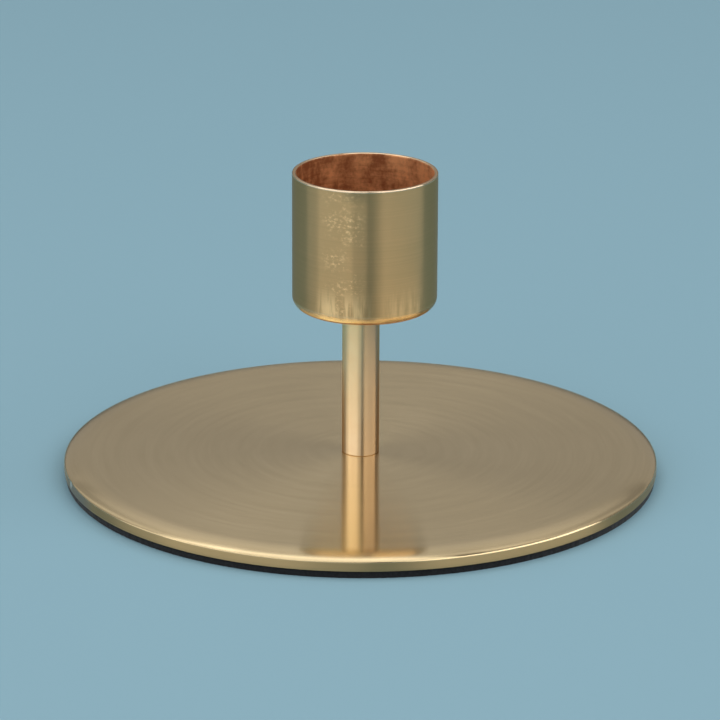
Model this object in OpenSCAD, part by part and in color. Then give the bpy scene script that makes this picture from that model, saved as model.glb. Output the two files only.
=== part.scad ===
// Candle holder: a felt-backed round base plate, a slim stem and a drawn cup for a dinner candle.
// +Z is up. The origin is the middle of the felt's underside, where the holder stands.
// All sizes are in millimetres.

/* [Base plate] */
// Diameter of the plate
plate_d = 100; // [80:1:140]
// Thickness of the plate at its middle
plate_t = 2.4; // [2.3:0.1:4]
// Width of the plate's soft top edge, a quarter ellipse
edge_w = 4.5; // [2:0.5:8]
// Height of that soft edge
edge_h = 0.95; // [0.4:0.05:1.5]

/* [Felt pad] */
// Diameter of the felt
pad_d = 99.4; // [70:0.1:139]
// Thickness of the felt
pad_t = 1.1; // [0.8:0.1:3]
// Thickness of the adhesive film between the felt and the plate
film_t = 0.1; // [0.1:0.05:0.4]

/* [Stem] */
// Diameter of the stem
stem_d = 6.25; // [6:0.05:10]
// Length of the stem, from the plate to the cup
stem_l = 25.6; // [24:0.1:80]

/* [Cup] */
// Outer diameter of the cup
cup_d = 24.2; // [20:0.1:30]
// Height of the cup
cup_h = 23.3; // [15:0.1:35]
// Thickness of the cup's wall and floor
cup_wall = 0.7; // [0.5:0.1:1.2]
// Outer radius of the corner between the cup's wall and floor
cup_corner_r = 2; // [1.5:0.1:4]
// How far the cup's centre is from the stem's axis, because its floor hole isn't central
cup_shift = 0.6; // [0:0.1:1]

/* [Screws] */
// Outer diameter of the screw threads
thread_d = 4; // [3:0.5:4]
// Pitch of the screw threads
thread_pitch = 0.7; // [0.5:0.1:0.8]
// Thread turns of the base screw inside the stem
base_turns = 11; // [6:1:12]
// Thread turns of the cup screw inside the stem
cup_turns = 9; // [6:1:10]

/* [Hidden] */

$fn = 96;
overcut = 0.1;          // how far a cutter reaches past the face it opens

plate_z = pad_t + film_t;
stem_z = plate_z + plate_t;
cup_z = stem_z + stem_l;

plate_r = plate_d / 2;
plate_chamfer = 0.15;   // broken lower edge of the plate
stem_chamfer = 0.15;    // broken edges of the stem's ends
film_inset = 0.5;       // the film is cut a little smaller than the felt

thread_r = thread_d / 2;
thread_depth = 0.58 * thread_pitch;
root_r = thread_r - thread_depth;
neck_r = thread_r - thread_depth / 2;
thread_gap = 0.05;      // radial gap between a screw's thread and its tapped hole
spare_turns = 2;        // turns of tapped hole left past a screw's tip
hole_r = thread_r + 0.2;

flat_head_r = thread_r + 1.75; // countersunk head of the base screw
flat_head_land = 0.2;
flat_head_h = flat_head_land + flat_head_r - thread_r;
head_gap = 0.05;        // gap between that head and its countersink

washer_r = 4;
washer_t = 0.4;
washer_teeth = 8;
tooth_gap_w = 0.8;
tooth_root_r = 3;

low_head_r = 4;         // low domed head of the cup screw, which stays below the cup's straight wall
low_head_h = 1;
low_head_land = 0.3;

recess_span = 4;        // cross recess of both screws
recess_w = 0.9;
recess_depth = 1.4;

// Points on an arc about a centre, from one angle to another.
function arc(centre, r, from, to, steps) =
  [for (i = [0:steps]) let (a = from + (to - from) * i / steps) centre + r * [cos(a), sin(a)]];

// Outline of a thread drawn as rings: each turn is a root flat, a flank, a crest flat and a flank.
function ring_thread(root, crest, turns) = [
  for (k = [0:turns - 1])
    for (p = [[root, 0], [root, 0.25], [crest, 0.56], [crest, 0.69]])
      [p[0], (k + p[1]) * thread_pitch]
];

// A shank that points up: a plain neck below zero, ring threads above it and a chamfered tip.
module shank(turns, neck) {
  tip_z = turns * thread_pitch;
  rotate_extrude()
    polygon(concat(
      [[0, -neck], [neck_r, -neck], [neck_r, 0]],
      ring_thread(root_r, thread_r, turns),
      [[root_r, tip_z], [root_r - 0.4, tip_z + 0.4], [0, tip_z + 0.4]]
    ));
}

// What a tap leaves: ring threads from zero upwards and the drill's point past them.
module tapped_hole(turns) {
  r = root_r + thread_gap;
  end_z = turns * thread_pitch;
  rotate_extrude()
    polygon(concat(
      [[0, -overcut], [r, -overcut]],
      ring_thread(r, thread_r + thread_gap, turns),
      [[r, end_z], [0, end_z + r / tan(59)]]
    ));
}

// A cross recess that opens at zero and tapers upwards.
module cross_recess() {
  for (turn = [0, 90])
    rotate([90, 0, turn])
      linear_extrude(height = recess_w, center = true)
        polygon([
          [-recess_span / 2, -overcut], [recess_span / 2, -overcut],
          [recess_span / 4, recess_depth], [-recess_span / 4, recess_depth]
        ]);
}

// Outline of the countersunk head, or of its seat when it is given a gap.
module flat_head_outline(gap = 0) {
  polygon([
    [0, -gap], [flat_head_r + gap, -gap], [flat_head_r + gap, flat_head_land],
    [thread_r + gap, flat_head_h], [0, flat_head_h]
  ]);
}

module felt_pad() {
  color("#26262a")
    cylinder(d = pad_d, h = pad_t);
}

module adhesive_film() {
  color("#d8d2bc")
    translate([0, 0, pad_t])
      cylinder(r = pad_d / 2 - film_inset, h = film_t);
}

module base_plate() {
  edge_steps = 14;
  soft_edge = [
    for (i = [0:edge_steps]) let (a = 90 * i / edge_steps)
      [plate_r - edge_w * (1 - cos(a)), plate_t - edge_h * (1 - sin(a))]
  ];
  color("#c9a869")
    translate([0, 0, plate_z])
      difference() {
        rotate_extrude($fn = 180)
          polygon(concat(
            [[0, 0], [plate_r - plate_chamfer, 0], [plate_r, plate_chamfer]],
            soft_edge, [[0, plate_t]]
          ));
        rotate_extrude()
          flat_head_outline(head_gap);
        cylinder(r = hole_r, h = plate_t + overcut);
      }
}

module base_screw() {
  color("#b9bcc0")
    difference() {
      union() {
        translate([0, 0, plate_z])
          rotate_extrude()
            flat_head_outline();
        translate([0, 0, stem_z])
          shank(base_turns, plate_t - flat_head_h);
      }
      translate([0, 0, plate_z])
        cross_recess();
    }
}

module stem() {
  r = stem_d / 2;
  color("#d2ab6c")
    translate([0, 0, stem_z])
      difference() {
        rotate_extrude()
          polygon([
            [0, 0], [r - stem_chamfer, 0], [r, stem_chamfer],
            [r, stem_l - stem_chamfer], [r - stem_chamfer, stem_l], [0, stem_l]
          ]);
        tapped_hole(base_turns + spare_turns);
        translate([0, 0, stem_l])
          mirror([0, 0, 1])
            tapped_hole(cup_turns + spare_turns);
      }
}

module cup() {
  r = cup_d / 2;
  inner_corner_r = cup_corner_r - cup_wall;
  lip_r = cup_wall / 2;
  color("#b9a36c")
    translate([0, 0, cup_z])
      difference() {
        translate([cup_shift, 0, 0])
          rotate_extrude()
            polygon(concat(
              [[0, 0]],
              arc([r - cup_corner_r, cup_corner_r], cup_corner_r, -90, 0, 8),
              arc([r - lip_r, cup_h - lip_r], lip_r, 0, 180, 8),
              arc([r - cup_corner_r, cup_corner_r], inner_corner_r, 0, -90, 8),
              [[0, cup_wall]]
            ));
        translate([0, 0, -overcut])
          cylinder(r = hole_r, h = cup_wall + 2 * overcut);
      }
}

module lock_washer() {
  color("#a9abad")
    translate([0, 0, cup_z + cup_wall])
      difference() {
        cylinder(r = washer_r, h = washer_t);
        translate([0, 0, -overcut])
          cylinder(r = hole_r, h = washer_t + 2 * overcut);
        for (i = [0:washer_teeth - 1])
          rotate(i * 360 / washer_teeth)
            translate([0, -tooth_gap_w / 2, -overcut])
              cube([tooth_root_r, tooth_gap_w, washer_t + 2 * overcut]);
      }
}

module cup_screw() {
  head_z = cup_z + cup_wall + washer_t;
  dome_h = low_head_h - low_head_land;
  dome_r = (low_head_r * low_head_r + dome_h * dome_h) / (2 * dome_h);
  dome_angle = asin(low_head_r / dome_r);
  color("#b9bcc0")
    difference() {
      union() {
        translate([0, 0, head_z])
          rotate_extrude()
            polygon(concat(
              [[0, 0], [low_head_r, 0]],
              arc([0, low_head_h - dome_r], dome_r, 90 - dome_angle, 90, 8)
            ));
        translate([0, 0, cup_z])
          mirror([0, 0, 1])
            shank(cup_turns, cup_wall + washer_t);
      }
      translate([0, 0, head_z + low_head_h])
        mirror([0, 0, 1])
          cross_recess();
    }
}

felt_pad();
adhesive_film();
base_plate();
base_screw();
stem();
cup();
lock_washer();
cup_screw();
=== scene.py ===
"""A dinner-candle holder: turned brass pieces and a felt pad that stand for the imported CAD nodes."""
from math import atan2, cos, exp, hypot, pi, radians, sin
from random import Random

import bmesh
import bpy
from mathutils import Matrix, Vector, noise

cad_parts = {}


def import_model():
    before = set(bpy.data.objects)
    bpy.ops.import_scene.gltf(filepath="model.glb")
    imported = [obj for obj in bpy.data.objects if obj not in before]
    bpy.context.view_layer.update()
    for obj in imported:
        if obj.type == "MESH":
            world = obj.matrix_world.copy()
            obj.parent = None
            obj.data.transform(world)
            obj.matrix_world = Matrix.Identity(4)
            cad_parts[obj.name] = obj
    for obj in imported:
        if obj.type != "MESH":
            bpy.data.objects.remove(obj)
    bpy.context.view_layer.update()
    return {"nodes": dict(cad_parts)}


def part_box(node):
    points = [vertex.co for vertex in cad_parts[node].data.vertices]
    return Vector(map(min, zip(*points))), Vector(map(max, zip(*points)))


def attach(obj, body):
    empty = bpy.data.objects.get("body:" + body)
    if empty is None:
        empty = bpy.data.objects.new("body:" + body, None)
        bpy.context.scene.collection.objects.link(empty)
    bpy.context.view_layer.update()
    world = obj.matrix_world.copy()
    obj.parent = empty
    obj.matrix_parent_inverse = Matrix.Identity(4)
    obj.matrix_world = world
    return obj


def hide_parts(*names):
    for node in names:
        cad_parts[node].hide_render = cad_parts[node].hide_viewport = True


MM = 0.001

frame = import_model()


# ---------------------------------------------------------------- sizes, from the frame

plate_low, plate_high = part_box("base_plate")
felt_low, felt_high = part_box("felt_pad")
stem_low, stem_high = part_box("stem")
cup_low, cup_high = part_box("cup")

PLATE_R = min(plate_high.x, -plate_low.x, plate_high.y, -plate_low.y)
PLATE_SOFT_W = 4.5 * MM
PLATE_SOFT_H = 0.95 * MM
PLATE_FOOT_W = 0.08 * MM
PLATE_FOOT_H = 0.8 * MM
PLATE_HOLE_R = 2.2 * MM
PLATE_RING_W = 6 * MM  # how far in from the wall the underside has a ring of points
SIDE_FINISH_STARTS = 0.8 * MM  # how far below the plate's top the side's coarser finish begins
SIDE_FINISH_WHOLE = 1.0 * MM  # and how far below it that finish is whole

STEM_R = (stem_high.x - stem_low.x) / 2
STEM_EDGE_R = 0.15 * MM
STEM_BORE_R = 1.65 * MM
SHADED_SIDE_ANGLE = 359.0  # the middle of the stem's side that is darkened with painted shade, in degrees about its axis

CUP_X = (cup_high.x + cup_low.x) / 2
CUP_R = (cup_high.x - cup_low.x) / 2
CUP_WALL = 0.7 * MM
CUP_CORNER_R = 2 * MM
CUP_HOLE_R = 2.2 * MM
LIP_OUTER_R = 0.2 * MM
LIP_INNER_R = 0.3 * MM
FLECK_GLINT_ANGLE = 252.0  # the middle of the band of flecks painted bright as highlights, in degrees about the cup
SECOND_GLINT_STREAKS_ANGLE = FLECK_GLINT_ANGLE + 51  # the middle of a second, fainter band of streaks painted bright as highlights
DARK_PATCH_ANGLE = 263.0  # the middle of the darker patch under the lip

FELT_R = felt_high.x
FELT_EDGE_R = 0.08 * MM
FELT_CENTRE_R = 0.02 * MM  # the turned outline stops this far from the axis
FELT_RAGGED = 0.12 * MM
FELT_RAGGED_ZONE = 0.5 * MM  # how far in from the wall the raggedness reaches
FIBRE_COUNT = 2600
FIBRE_R = 0.012 * MM
FIBRE_MARGIN = 0.1 * MM  # how far the fibres stay from the felt's top and underside
FIBRE_SEED = 11

# Knocks in the plate's side: angle in degrees, height above its underside, half width and depth.
KNOCKS = (
    (196, 1.15 * MM, 0.7 * MM, 0.14 * MM),
    (198.5, 0.8 * MM, 0.45 * MM, 0.09 * MM),
    (203, 1.2 * MM, 0.5 * MM, 0.06 * MM),
)
KNOCK_REACH = 1.5 * MM  # how far in from the wall a knock moves the plate's surface
KNOCK_SQUAT = 0.6  # a knock's height as a share of its width
WORN_ANGLE = 200.0  # the middle of the worn stretch of the side that has the knocks in it


# ---------------------------------------------------------------- mesh helpers

def arc(centre, radius, start, end, steps):
    """Points on an arc, with its angles in degrees."""
    points = []
    for i in range(steps + 1):
        a = radians(start + (end - start) * i / steps)
        points.append((centre[0] + radius * cos(a), centre[1] + radius * sin(a)))
    return points


def quarter_ellipse(corner, width, height, steps):
    """Points that round off a corner, from the flat beside it to the wall above or below it."""
    points = []
    for i in range(steps + 1):
        a = radians(90 * i / steps)
        points.append((corner[0] + width * (1 - sin(a)), corner[1] + height * (1 - cos(a))))
    return points


def refined(outline, step, guard=0.06 * MM):
    """The closed outline with long stretches divided, and a point close to each of their ends.

    The close points keep the smooth shading of a curve off the flat beside it.
    """
    points = []
    for i, a in enumerate(outline):
        b = outline[(i + 1) % len(outline)]
        length = hypot(b[0] - a[0], b[1] - a[1])
        points.append(a)
        if length < 4 * guard:
            continue
        inner = length - 2 * guard
        count = max(1, round(inner / step))
        for k in range(count + 1):
            t = (guard + inner * k / count) / length
            points.append((a[0] + (b[0] - a[0]) * t, a[1] + (b[1] - a[1]) * t))
    return points


def turned(name, outline, segments, centre_x=0.0):
    """A mesh turned about an upright axis from a closed outline of (radius, height) points."""
    mesh = bpy.data.meshes.new(name)
    count = len(outline)
    vertices = []
    for k in range(segments):
        a = 2 * pi * k / segments
        vertices += [(centre_x + r * cos(a), r * sin(a), z) for r, z in outline]
    faces = []
    for k in range(segments):
        here, there = k * count, (k + 1) % segments * count
        for i in range(count):
            j = (i + 1) % count
            faces.append((here + i, there + i, there + j, here + j))
    mesh.from_pydata(vertices, [], faces)
    bm = bmesh.new()
    bm.from_mesh(mesh)
    bmesh.ops.remove_doubles(bm, verts=bm.verts, dist=1e-8)
    bmesh.ops.recalc_face_normals(bm, faces=bm.faces)
    bm.to_mesh(mesh)
    bm.free()
    mesh.shade_smooth()
    piece = bpy.data.objects.new(name, mesh)
    bpy.context.scene.collection.objects.link(piece)
    return piece


def pull_inwards(point, distance):
    """Moves a point straight towards the upright axis."""
    scale = 1 - distance / hypot(point.x, point.y)
    point.x *= scale
    point.y *= scale


def place(piece, node, slot_name, *materials):
    """The piece rides on the body, stands for its CAD node and takes its materials."""
    for material in materials:
        piece.data.materials.append(material)
    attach(piece, "root")
    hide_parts(node)
    return piece


# ---------------------------------------------------------------- node helpers

class Nodes:
    """Short calls for building one material's node tree."""

    def __init__(self, name):
        self.material = bpy.data.materials.new(name)
        self.material.use_nodes = True
        self.tree = self.material.node_tree
        self.tree.nodes.clear()
        self.shader = self.tree.nodes.new("ShaderNodeBsdfPrincipled")
        output = self.tree.nodes.new("ShaderNodeOutputMaterial")
        self.tree.links.new(self.shader.outputs[0], output.inputs["Surface"])

    def link(self, value, socket):
        """Joins an output to the socket, or puts a plain value in it."""
        if isinstance(value, bpy.types.NodeSocket):
            self.tree.links.new(value, socket)
        else:
            socket.default_value = value

    def set(self, **values):
        """Sets the shader's sockets: names have _ for a space."""
        for key, value in values.items():
            self.link(value, self.shader.inputs[key.replace("_", " ")])

    def math(self, operation, a, b=0.0):
        node = self.tree.nodes.new("ShaderNodeMath")
        node.operation = operation
        for value, socket in zip((a, b), node.inputs):
            self.link(value, socket)
        return node.outputs[0]

    def add(self, a, b):
        return self.math("ADD", a, b)

    def take(self, a, b):
        return self.math("SUBTRACT", a, b)

    def times(self, a, b):
        return self.math("MULTIPLY", a, b)

    def larger(self, a, b):
        return self.math("MAXIMUM", a, b)

    def length(self, x, y, z=0.0):
        """How far away a point is, from how far away it is along each axis."""
        squares = self.add(self.add(self.times(x, x), self.times(y, y)), self.times(z, z))
        return self.math("SQRT", squares)

    def position(self, centre_x=0.0):
        """X, Y and Z in the shared frame, in metres, from the piece's upright axis."""
        coordinates = self.tree.nodes.new("ShaderNodeTexCoord")
        split = self.tree.nodes.new("ShaderNodeSeparateXYZ")
        self.tree.links.new(coordinates.outputs["Object"], split.inputs[0])
        x = self.take(split.outputs[0], centre_x)
        return x, split.outputs[1], split.outputs[2]

    def towards(self, x, y, angle):
        """How far a point lies from the upright axis towards an angle about it."""
        return self.add(self.times(x, cos(radians(angle))), self.times(y, sin(radians(angle))))

    def facing(self, x, y, radius, angle, outer, inner):
        """One on the part of a round wall that faces an angle, and nothing further round it.

        It falls from one to nothing between two offsets from that angle, the inner and the outer.
        """
        nothing, whole = radius * cos(radians(outer)), radius * cos(radians(inner))
        return self.remap(self.towards(x, y, angle), nothing, whole, 0, 1)

    def vector(self, x, y, z):
        node = self.tree.nodes.new("ShaderNodeCombineXYZ")
        for value, socket in zip((x, y, z), node.inputs):
            self.link(value, socket)
        return node.outputs[0]

    def noise(self, vector, scale, detail=2.0, roughness=0.5):
        node = self.tree.nodes.new("ShaderNodeTexNoise")
        self.link(vector, node.inputs["Vector"])
        node.inputs["Scale"].default_value = scale
        node.inputs["Detail"].default_value = detail
        node.inputs["Roughness"].default_value = roughness
        return node.outputs["Fac"]

    def remap(self, value, low, high, to_low, to_high):
        """The value's place between low and high, carried over to the second pair and kept between them."""
        node = self.tree.nodes.new("ShaderNodeMapRange")
        for item, socket in zip((value, low, high, to_low, to_high), node.inputs):
            self.link(item, socket)
        return node.outputs[0]

    def mix(self, factor, a, b):
        """A colour between a and b."""
        node = self.tree.nodes.new("ShaderNodeMix")
        node.data_type = "RGBA"
        self.link(factor, node.inputs[0])
        self.link(a, node.inputs[6])
        self.link(b, node.inputs[7])
        return node.outputs[2]

    def mottled(self, shade, dark, light, low=0.35, high=0.65):
        """A colour that goes from dark to light as the shade goes from low to high."""
        return self.mix(self.remap(shade, low, high, 0, 1), dark, light)

    def bump(self, height, distance, normal=None):
        node = self.tree.nodes.new("ShaderNodeBump")
        node.inputs["Strength"].default_value = 1.0
        node.inputs["Distance"].default_value = distance
        self.link(height, node.inputs["Height"])
        if normal is not None:
            self.link(normal, node.inputs["Normal"])
        return node.outputs[0]

    def round_tangent(self):
        """The direction round the upright axis."""
        node = self.tree.nodes.new("ShaderNodeTangent")
        node.direction_type = "RADIAL"
        node.axis = "Z"
        return node.outputs[0]


def rgb(red, green, blue):
    return (red, green, blue, 1.0)


# ---------------------------------------------------------------- materials

ACROSS_THE_BRUSHING = 0.25  # a quarter turn: the shine spreads across the brush lines


def plate_brass():
    """Satin brass, brushed in circles about the stem, and brushed more coarsely on its side."""
    n = Nodes("plate_brass")
    x, y, z = n.position()
    radius = n.length(x, y)
    round_x, round_y = n.math("DIVIDE", x, radius), n.math("DIVIDE", y, radius)
    streaks = n.noise(n.vector(round_x, round_y, n.times(n.add(radius, z), 2500)), 2.0, 4.0, 0.6)
    broad_streaks = n.noise(n.vector(round_x, round_y, n.times(radius, 450)), 1.5, 3.0, 0.6)
    patches = n.noise(n.vector(x, y, z), 60.0, 3.0)
    shade = n.add(n.add(n.times(streaks, 0.35), n.times(broad_streaks, 0.45)), n.times(patches, 0.2))
    top_colour = n.mottled(shade, rgb(0.815, 0.637, 0.362), rgb(0.895, 0.707, 0.418))

    worn = n.times(n.facing(round_x, round_y, 1, WORN_ANGLE, outer=9, inner=4), 0.75)
    side_colour = n.mix(worn, rgb(0.65, 0.45, 0.222), rgb(0.42, 0.38, 0.32))
    # Round the deepest knock the side is bare metal, coloured near white as a painted highlight.
    angle, height, half_width, _ = KNOCKS[0]
    away = n.length(
        n.take(x, PLATE_R * cos(radians(angle))),
        n.take(y, PLATE_R * sin(radians(angle))),
        n.take(z, plate_low.z + height),
    )
    bare_metal_and_glint = n.remap(away, 0.5 * half_width, 1.3 * half_width, 1, 0)
    side_colour = n.mix(bare_metal_and_glint, side_colour, rgb(0.97, 0.93, 0.86))

    side = n.remap(z, plate_high.z - SIDE_FINISH_WHOLE, plate_high.z - SIDE_FINISH_STARTS, 1, 0)
    n.set(
        Base_Color=n.mix(side, top_colour, side_colour), Metallic=1.0,
        Anisotropic=1.0, Anisotropic_Rotation=ACROSS_THE_BRUSHING, Tangent=n.round_tangent(),
        Roughness=n.add(n.remap(shade, 0.3, 0.7, 0.155, 0.18), n.times(side, 0.26)),
        Normal=n.bump(streaks, 0.0003 * MM),
    )
    return n.material


def stem_brass():
    """Polished brass with faint drawing lines along it, with painted shade down one side and low on the
    other, and a painted warm reflection higher up.
    """
    n = Nodes("stem_brass")
    x, y, z = n.position()
    lines = n.noise(n.vector(x, y, n.times(z, 0.02)), 2500.0, 2.0)
    clouds = n.noise(n.vector(x, y, z), 300.0, 3.0)
    height = n.remap(z, stem_low.z, stem_high.z, 0, 1)
    # The colour turns from pale low down to warm higher up: a painted warm reflection.
    pale = n.mottled(clouds, rgb(0.9, 0.74, 0.56), rgb(0.94, 0.79, 0.61))
    warm_reflection = n.mottled(clouds, rgb(1.0, 0.75, 0.41), rgb(1.0, 0.8, 0.46))
    colour = n.mix(height, pale, warm_reflection)

    # The stem's half on the side of that angle is darkened, more towards its edge: painted shade.
    facing = n.towards(x, y, SHADED_SIDE_ANGLE)
    edge = n.remap(facing, 0, 0.2 * STEM_R, 0, 0.7)
    side_shade = n.add(edge, n.remap(facing, 0.2 * STEM_R, STEM_R, 0, 0.3))
    colour = n.mix(side_shade, colour, rgb(0.5, 0.37, 0.26))
    # The lower part of the opposite edge is darkened too: painted shade.
    far_side = n.remap(facing, -0.92 * STEM_R, -0.74 * STEM_R, 1, 0)
    low_side_shade = n.times(far_side, n.remap(height, 0.25, 0.6, 0.65, 0))
    colour = n.mix(low_side_shade, colour, rgb(0.42, 0.28, 0.15))
    n.set(
        Base_Color=colour, Metallic=1.0, Specular_Tint=rgb(0.95, 0.66, 0.4),
        Anisotropic=0.85, Anisotropic_Rotation=ACROSS_THE_BRUSHING, Tangent=n.round_tangent(),
        Roughness=n.remap(clouds, 0.3, 0.7, 0.28, 0.33),
        Normal=n.bump(lines, 0.0004 * MM),
    )
    return n.material


def cup_brass():
    """Satin brass, brushed round the cup and buffed on its lip and its lower corner, with painted
    highlights and shade on it.
    """
    n = Nodes("cup_brass")
    x, y, z = n.position(CUP_X)
    streaks = n.noise(n.vector(n.times(x, 30), n.times(y, 30), n.times(z, 5000)), 1.0, 4.0, 0.6)
    patches = n.noise(n.vector(x, y, z), 150.0, 3.0)
    shade = n.add(n.times(streaks, 0.7), n.times(patches, 0.3))
    colour = n.mottled(shade, rgb(0.585, 0.39, 0.188), rgb(0.645, 0.43, 0.212))
    flecks_and_glints = cup_flecks_and_glints(n, x, y, z)
    # The flecks and streaks take a bright colour: painted highlights.
    colour = n.mix(flecks_and_glints, colour, rgb(1.0, 0.7, 0.36))

    # The wall is darker in a patch just under the lip, on one side.
    under_lip = n.remap(z, cup_high.z - 2.4 * MM, cup_high.z - 0.6 * MM, 0, 0.6)
    dark_patch = n.times(under_lip, n.facing(x, y, CUP_R, DARK_PATCH_ANGLE, outer=12, inner=5))
    colour = n.mix(dark_patch, colour, rgb(0.3, 0.24, 0.13))

    # The lower corner is buffed, and its colour is a painted highlight, bright on one side and turning
    # browner on the other as painted shade.
    corner = n.remap(z, cup_low.z + 0.8 * MM, cup_low.z + CUP_CORNER_R, 1, 0)
    corner_side_shade = n.remap(x, -0.1 * CUP_R, 0.3 * CUP_R, 0, 1)
    colour = n.mix(corner, colour, n.mix(corner_side_shade, rgb(1.0, 0.85, 0.56), rgb(0.6, 0.44, 0.25)))
    lip = n.remap(z, cup_high.z - 0.3 * MM, cup_high.z - 0.2 * MM, 0, 1)
    colour = n.mix(lip, colour, rgb(0.98, 0.76, 0.52))
    n.set(
        Base_Color=colour, Metallic=1.0, Specular_Tint=rgb(0.8, 0.7, 0.6),
        Anisotropic=1.0, Anisotropic_Rotation=ACROSS_THE_BRUSHING, Tangent=n.round_tangent(),
        Roughness=n.take(n.remap(shade, 0.3, 0.7, 0.3, 0.345), n.times(n.larger(corner, lip), 0.13)),
        Normal=n.bump(flecks_and_glints, 0.004 * MM, n.bump(streaks, 0.0004 * MM)),
    )
    return n.material


def cup_flecks_and_glints(n, x, y, z):
    """Flecks in one upright band of the cup's wall, and streaks at the foot of it, painted bright as
    highlights.
    """
    where = n.noise(n.vector(n.times(x, 0.6), n.times(y, 0.6), z), 330.0, 3.0, 0.6)
    flecked = n.facing(x, y, CUP_R, FLECK_GLINT_ANGLE, outer=20, inner=7)
    patch = n.times(flecked, n.remap(where, 0.42, 0.58, 0, 1))
    grain = n.noise(n.vector(x, y, n.times(z, 1.3)), 1500.0, 4.0, 0.65)
    flecks_and_glints = n.times(patch, n.remap(grain, 0.5, 0.66, 0, 1))

    main_band = n.facing(x, y, CUP_R, FLECK_GLINT_ANGLE, outer=26, inner=12)
    faint_band = n.times(n.facing(x, y, CUP_R, SECOND_GLINT_STREAKS_ANGLE, outer=24, inner=10), 0.4)
    low = n.remap(z, cup_low.z + 3 * MM, cup_low.z + 6.5 * MM, 1, 0)
    runs = n.noise(n.vector(x, y, n.times(z, 0.12)), 1100.0, 3.0, 0.6)
    streaks = n.times(n.times(n.larger(main_band, faint_band), low), n.remap(runs, 0.41, 0.58, 0, 1))
    return n.larger(flecks_and_glints, streaks)


def raw_copper():
    """The unpolished inside of the cup: copper brown, with coarse turning, stains and painted shade."""
    n = Nodes("cup_inside")
    x, y, z = n.position(CUP_X)
    turning = n.noise(n.vector(n.times(x, 200), n.times(y, 200), n.times(z, 1600)), 1.0, 5.0, 0.65)
    stains = n.noise(n.vector(x, y, n.times(z, 0.8)), 420.0, 6.0, 0.65)
    shade = n.add(n.times(turning, 0.25), n.times(stains, 0.75))
    # The inside is darker towards its left and lighter towards its right: painted shade and painted light.
    shade = n.add(shade, n.remap(x, -CUP_R, CUP_R, -0.1, 0.06))
    n.set(
        Base_Color=n.mottled(shade, rgb(0.29, 0.09, 0.025), rgb(0.82, 0.39, 0.165), 0.39, 0.6),
        Metallic=n.remap(stains, 0.4, 0.6, 0.4, 0.6),
        Roughness=n.remap(shade, 0.35, 0.65, 0.62, 0.45), Normal=n.bump(shade, 0.02 * MM),
    )
    return n.material


def black_felt():
    """Pressed wool felt, close to black."""
    n = Nodes("felt")
    x, y, z = n.position()
    fibres = n.noise(n.vector(x, y, z), 2500.0, 6.0, 0.7)
    n.set(
        Base_Color=n.mottled(fibres, rgb(0.006, 0.006, 0.007), rgb(0.02, 0.02, 0.022)),
        Roughness=0.95, Sheen_Weight=0.25, Sheen_Roughness=0.5, Specular_IOR_Level=0.2,
        Normal=n.bump(fibres, 0.08 * MM),
    )
    return n.material


def zinc_steel():
    """Zinc-plated steel, with fine turning marks."""
    n = Nodes("zinc_steel")
    x, y, z = n.position()
    turning = n.noise(n.vector(x, y, n.times(z, 3)), 1500.0, 3.0)
    n.set(
        Base_Color=n.mottled(turning, rgb(0.5, 0.49, 0.47), rgb(0.68, 0.68, 0.67)), Metallic=1.0,
        Roughness=n.remap(turning, 0.3, 0.7, 0.28, 0.42), Normal=n.bump(turning, 0.002 * MM),
    )
    return n.material


def adhesive():
    """The buff film that holds the felt."""
    n = Nodes("adhesive")
    x, y, z = n.position()
    mottle = n.noise(n.vector(x, y, z), 800.0, 3.0)
    n.set(
        Base_Color=n.mottled(mottle, rgb(0.5, 0.46, 0.36), rgb(0.6, 0.56, 0.45)),
        Roughness=n.remap(mottle, 0.3, 0.7, 0.45, 0.6),
    )
    return n.material


# ---------------------------------------------------------------- pieces

def base_plate():
    """The plate, with a soft top edge, a slightly drawn-in foot and a few knocks in its side."""
    low, high = plate_low.z, plate_high.z
    foot = quarter_ellipse((PLATE_R, low), -PLATE_FOOT_W, PLATE_FOOT_H, 10)
    soft_edge = quarter_ellipse((PLATE_R, high), -PLATE_SOFT_W, -PLATE_SOFT_H, 32)
    outline = refined(
        [(PLATE_HOLE_R, low), (PLATE_R - PLATE_RING_W, low)]
        + foot
        + soft_edge[::-1]
        + [(PLATE_HOLE_R, high)],
        step=4 * MM,
    )
    piece = turned("plate_visual", outline, segments=720)
    for vertex in piece.data.vertices:
        dent(vertex.co)
    return place(piece, "base_plate", "plate_brass", plate_brass())


def dent(point):
    """Moves a point of the plate's side inwards where a knock has dented it."""
    radius = hypot(point.x, point.y)
    if radius < PLATE_R - KNOCK_REACH:
        return
    angle = atan2(point.y, point.x)
    push = 0.0
    for knock_angle, height, half_width, depth in KNOCKS:
        turn = (angle - radians(knock_angle) + pi) % (2 * pi) - pi
        along = turn * radius / half_width
        up = (point.z - plate_low.z - height) / (KNOCK_SQUAT * half_width)
        push += depth * exp(-along * along - up * up)
    pull_inwards(point, push)


def stem():
    """The stem, with its ends' edges broken."""
    low, high = stem_low.z, stem_high.z
    outline = refined(
        [(STEM_BORE_R, low)]
        + arc((STEM_R - STEM_EDGE_R, low + STEM_EDGE_R), STEM_EDGE_R, -90, 0, 6)
        + arc((STEM_R - STEM_EDGE_R, high - STEM_EDGE_R), STEM_EDGE_R, 0, 90, 6)
        + [(STEM_BORE_R, high)],
        step=0.5 * MM,
    )
    piece = turned("stem_visual", outline, segments=160)
    return place(piece, "stem", "stem_brass", stem_brass())


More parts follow.
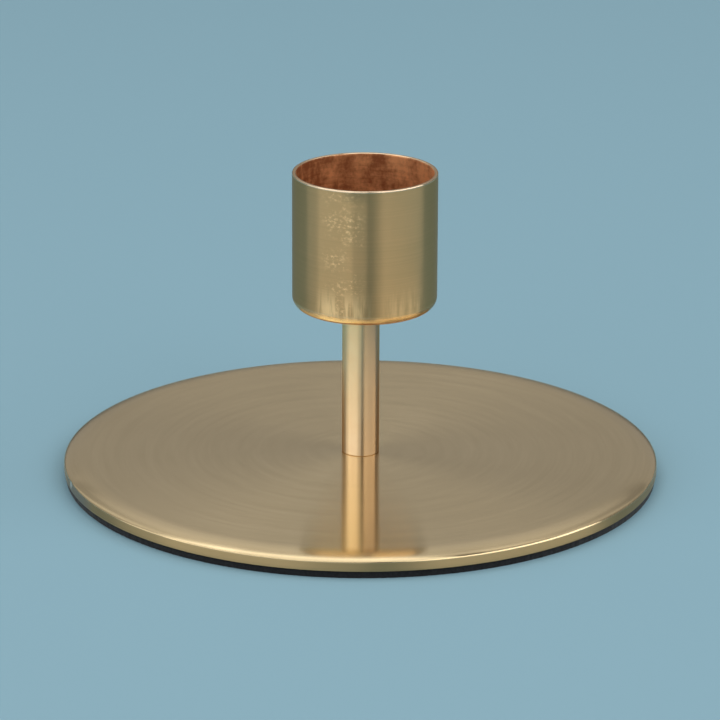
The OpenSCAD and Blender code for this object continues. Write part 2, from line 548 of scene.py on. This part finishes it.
def cup():
    """The drawn cup, brass outside and raw copper brown inside."""
    low, high = cup_low.z, cup_high.z
    corner = (CUP_R - CUP_CORNER_R, low + CUP_CORNER_R)
    outline = refined(
        [(CUP_HOLE_R, low + CUP_WALL), (CUP_HOLE_R, low)]
        + arc(corner, CUP_CORNER_R, -90, 0, 16)
        + arc((CUP_R - LIP_OUTER_R, high - LIP_OUTER_R), LIP_OUTER_R, 0, 90, 8)
        + arc((CUP_R - CUP_WALL + LIP_INNER_R, high - LIP_INNER_R), LIP_INNER_R, 90, 180, 8)
        + arc(corner, CUP_CORNER_R - CUP_WALL, 0, -90, 12),
        step=0.6 * MM,
    )
    piece = turned("cup_visual", outline, segments=240, centre_x=CUP_X)
    place(piece, "cup", "cup_brass", cup_brass(), raw_copper())
    inside_r = CUP_R - 0.9 * CUP_WALL
    for face in piece.data.polygons:
        centre = face.center
        inside = hypot(centre.x - CUP_X, centre.y) < inside_r and centre.z > low + 0.5 * CUP_WALL
        face.material_index = int(inside)
    return piece


def felt_pad():
    """The felt's disc, with a slightly ragged wall and stray fibres that stand out of it."""
    low, high = felt_low.z, felt_high.z
    outline = refined(
        [(FELT_CENTRE_R, low)]
        + arc((FELT_R - FELT_EDGE_R, low + FELT_EDGE_R), FELT_EDGE_R, -90, 0, 5)
        + arc((FELT_R - FELT_EDGE_R, high - FELT_EDGE_R), FELT_EDGE_R, 0, 90, 5)
        + [(FELT_CENTRE_R, high)],
        step=8 * MM,
    )
    piece = turned("felt_visual", outline, segments=1200)
    fineness, smoothness, gap_ratio, octaves = 2200, 0.7, 2.1, 4
    for vertex in piece.data.vertices:
        point = vertex.co
        if hypot(point.x, point.y) > FELT_R - FELT_RAGGED_ZONE:
            waviness = noise.fractal(point * fineness, smoothness, gap_ratio, octaves)
            pull_inwards(point, min(FELT_RAGGED * abs(waviness), 2 * FELT_RAGGED))
    add_fibres(piece.data, low + FIBRE_MARGIN, high - FIBRE_MARGIN)
    return place(piece, "felt_pad", "felt", black_felt())


def add_fibres(mesh, low, high):
    """Short curved hairs rooted in the felt's wall, each a thin three-sided tube that ends in a point."""
    draw = Random(FIBRE_SEED)
    root_r = FELT_R - FELT_RAGGED
    bm = bmesh.new()
    bm.from_mesh(mesh)
    for _ in range(FIBRE_COUNT):
        angle = draw.uniform(0, 2 * pi)
        height = draw.uniform(low, high)
        sweep = draw.uniform(-0.35, 0.35) * MM / FELT_R
        reach = draw.uniform(0.02, 0.26) * MM
        lift = draw.uniform(-0.15, 0.1) * MM
        # Two rings of the tube, by how far along the hair they are and how thick it is there.
        rings = []
        for step, thickness in ((0, 1.0), (0.5, 0.8)):
            ring = []
            for corner in range(3):
                tilt = 2 * pi * corner / 3
                radius = root_r + reach * step ** 0.8 + FIBRE_R * thickness * cos(tilt)
                turn = angle + sweep * step * step
                z = min(max(height + lift * step + FIBRE_R * thickness * sin(tilt), low), high)
                ring.append(bm.verts.new((radius * cos(turn), radius * sin(turn), z)))
            rings.append(ring)
        turn = angle + sweep
        radius = root_r + reach
        tip_z = min(max(height + lift, low), high)
        tip = bm.verts.new((radius * cos(turn), radius * sin(turn), tip_z))
        for corner in range(3):
            after = (corner + 1) % 3
            bm.faces.new((rings[0][corner], rings[0][after], rings[1][after], rings[1][corner]))
            bm.faces.new((rings[1][corner], rings[1][after], tip))
    bm.to_mesh(mesh)
    bm.free()
    mesh.shade_smooth()


def finish_small_nodes():
    """The screws, the washer and the film keep their CAD shapes and get better materials."""
    steel, film = zinc_steel(), adhesive()
    for name, material in (
        ("base_screw", steel), ("cup_screw", steel), ("lock_washer", steel), ("adhesive_film", film),
    ):
        node = frame["nodes"][name]
        node.data.materials.clear()
        node.data.materials.append(material)


# ---------------------------------------------------------------- studio

MIDDLE_Z = 20 * MM  # the height that the lights face, and that the camera's elevation starts from
CAMERA_DISTANCE = 680 * MM
CAMERA_ELEVATION = radians(18.489)
CAMERA_ROLL = radians(0.23)
CAMERA_TARGET = Vector((-0.133 * MM, 0, 19.68 * MM))
LENS_MM = 202.685
WORLD_STRENGTH = 0.06
FLOOR_HALF = 4.0
FLOOR_COLOUR = rgb(0.28, 0.463, 0.55)


def on_sphere(azimuth, elevation, distance):
    """A point by its direction from the object: azimuth 0 is towards the camera, and grows to the right."""
    a, e = radians(azimuth), radians(elevation)
    return Vector((distance * sin(a) * cos(e), -distance * cos(a) * cos(e), distance * sin(e)))


def aim(thing, target, roll=0.0):
    direction = target - thing.location
    turn = direction.to_track_quat("-Z", "Y").to_matrix() @ Matrix.Rotation(roll, 3, "Z")
    thing.rotation_euler = turn.to_euler()


def camera():
    data = bpy.data.cameras.new("camera")
    data.sensor_width = 36
    data.lens = LENS_MM
    data.clip_start = 0.01
    thing = bpy.data.objects.new("camera", data)
    bpy.context.scene.collection.objects.link(thing)
    back, up = cos(CAMERA_ELEVATION), sin(CAMERA_ELEVATION)
    thing.location = (0, -CAMERA_DISTANCE * back, CAMERA_DISTANCE * up + MIDDLE_Z)
    aim(thing, CAMERA_TARGET, CAMERA_ROLL)
    bpy.context.scene.camera = thing


def panel(name, azimuth, elevation, distance, width, height, radiance):
    """A soft rectangular light that faces the object."""
    data = bpy.data.lights.new(name, "AREA")
    data.shape = "RECTANGLE"
    data.size = width
    data.size_y = height
    data.energy = radiance * pi * width * height
    thing = bpy.data.objects.new(name, data)
    bpy.context.scene.collection.objects.link(thing)
    thing.location = on_sphere(azimuth, elevation, distance)
    aim(thing, Vector((0, 0, MIDDLE_Z)))


def lights():
    """Soft panels all round. Their angles are in degrees and their lengths in metres."""
    # On the left: a bright panel, with a dimmer one at each side of it.
    panel("key", azimuth=-48, elevation=21, distance=1.5, width=1.72, height=1.1, radiance=1.27)
    panel("key_edge", azimuth=-90, elevation=21, distance=1.5, width=0.64, height=1.1, radiance=0.6)
    panel("key_feather", azimuth=-6, elevation=21, distance=1.5, width=0.46, height=1.1, radiance=0.66)
    # On the right.
    panel("fill_low", azimuth=65, elevation=5, distance=1.5, width=2.3, height=0.25, radiance=0.54)
    panel("fill_high", azimuth=65, elevation=41, distance=1.5, width=2.3, height=0.95, radiance=1.95)
    # Above.
    panel("overhead", azimuth=-65, elevation=79, distance=0.9, width=1.05, height=0.95, radiance=1.0)
    # Behind and to the sides.
    panel("left_high", azimuth=-112, elevation=38, distance=1.6, width=1.9, height=1.7, radiance=0.3)
    panel("right_high", azimuth=112, elevation=38, distance=1.6, width=1.9, height=1.7, radiance=0.17)
    # Behind: what the plate mirrors towards the camera.
    panel("back_top", azimuth=180, elevation=63, distance=1.6, width=1.2, height=0.6, radiance=0.4)
    panel("back_high", azimuth=180, elevation=51, distance=1.6, width=2.4, height=0.86, radiance=0.22)
    panel("back_core", azimuth=180, elevation=36, distance=1.6, width=0.8, height=0.5, radiance=0.28)
    panel("back_mid", azimuth=180, elevation=30.5, distance=1.6, width=2.4, height=0.31, radiance=0.155)
    panel("back_left", azimuth=-155, elevation=36, distance=1.6, width=1.2, height=0.75, radiance=0.06)
    panel("back", azimuth=180, elevation=16.5, distance=1.6, width=2.4, height=0.48, radiance=0.25)


def world():
    thing = bpy.data.worlds.new("studio")
    thing.use_nodes = True
    background = thing.node_tree.nodes["Background"]
    background.inputs["Color"].default_value = rgb(1.0, 1.0, 1.0)
    background.inputs["Strength"].default_value = WORLD_STRENGTH
    bpy.context.scene.world = thing


def floor():
    mesh = bpy.data.meshes.new("floor")
    corners = [(x * FLOOR_HALF, y * FLOOR_HALF, 0) for x, y in ((-1, -1), (1, -1), (1, 1), (-1, 1))]
    mesh.from_pydata(corners, [], [(0, 1, 2, 3)])
    thing = bpy.data.objects.new("floor", mesh)
    bpy.context.scene.collection.objects.link(thing)
    n = Nodes("floor")
    n.set(Base_Color=FLOOR_COLOUR, Roughness=0.9, Specular_IOR_Level=0.1)
    mesh.materials.append(n.material)


# ---------------------------------------------------------------- the scene

base_plate()
stem()
cup()
felt_pad()
finish_small_nodes()
camera()
lights()
world()
floor()
bpy.context.scene.view_settings.view_transform = "Standard"
